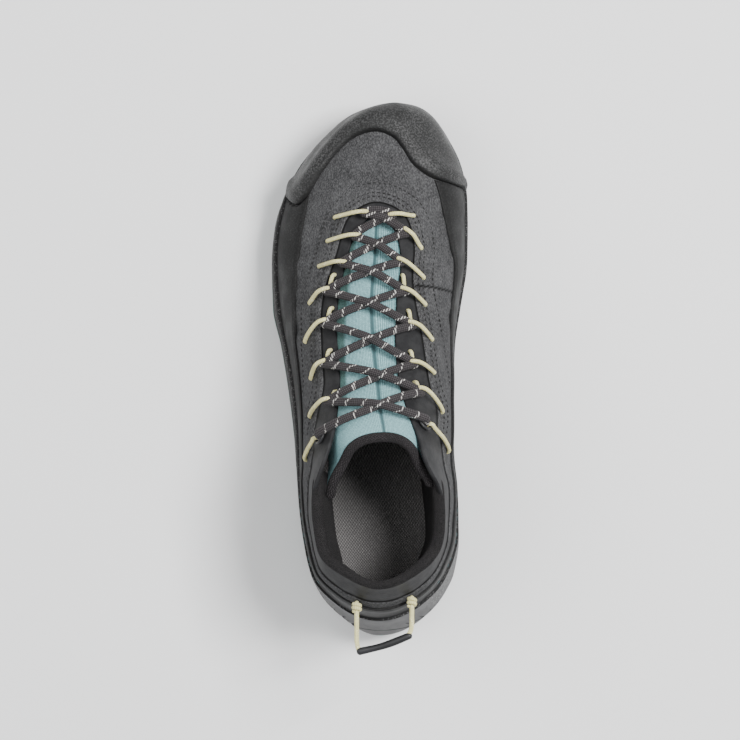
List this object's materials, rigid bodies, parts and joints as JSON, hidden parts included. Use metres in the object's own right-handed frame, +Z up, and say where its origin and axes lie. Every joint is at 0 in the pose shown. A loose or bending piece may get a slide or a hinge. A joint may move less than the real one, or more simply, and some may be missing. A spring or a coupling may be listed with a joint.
{
  "type": "approach shoe",
  "caption": "Low-cut left approach shoe with suede upper, rubber toe cap and rand, cord-loop lacing, mesh tongue, layered midsole and lugged outsole.",
  "frame": {"origin": "on the ground, under the middle of the shoe's bounding box", "axes": "+Z up, +Y towards the toe, +X towards the inner (medial) side of the foot"},
  "size_m": [0.1002, 0.2761, 0.1145],
  "materials": {
    "upper": "fine suede nap, with smooth black strips at throat and collar",
    "tongue": "teal air mesh with a black knit rim",
    "outsole": "matt black rubber",
    "teal_layer": "satin teal foam",
    "heel_wedge": "matt grey moulded foam",
    "midsole": "matt black with pale speckles",
    "insole": "grey knit",
    "toe_cap": "fine-grained matt rubber",
    "rand": "smooth satin rubber film",
    "collar_padding": "black knit lining",
    "lace": "round braid with pale flecks",
    "lace_loops": "pale yellow braided cord",
    "eyelets": "black satin",
    "pull_cord": "pale yellow braided cord",
    "pull_sleeve": "black satin"
  },
  "bodies": {
    "root": {"upper": "upper", "tongue": "tongue", "outsole": "outsole", "teal_layer": "teal_layer", "heel_wedge": "heel_wedge", "midsole": "midsole", "insole": "insole", "toe_cap": "toe_cap", "rand": "rand", "collar_padding": "collar_padding", "lace": "lace", "lace_loop_outer_1": "lace_loops", "lace_loop_outer_2": "lace_loops", "lace_loop_outer_3": "lace_loops", "lace_loop_outer_4": "lace_loops", "lace_loop_outer_5": "lace_loops", "lace_loop_outer_6": "lace_loops", "lace_loop_outer_7": "lace_loops", "lace_loop_outer_8": "lace_loops", "lace_loop_inner_1": "lace_loops", "lace_loop_inner_2": "lace_loops", "lace_loop_inner_3": "lace_loops", "lace_loop_inner_4": "lace_loops", "lace_loop_inner_5": "lace_loops", "lace_loop_inner_6": "lace_loops", "lace_loop_inner_7": "lace_loops", "lace_loop_inner_8": "lace_loops", "eyelet_outer": "eyelets", "eyelet_inner": "eyelets", "pull_cord_outer": "pull_cord", "pull_cord_inner": "pull_cord", "pull_sleeve": "pull_sleeve"}
  },
  "joints": []
}
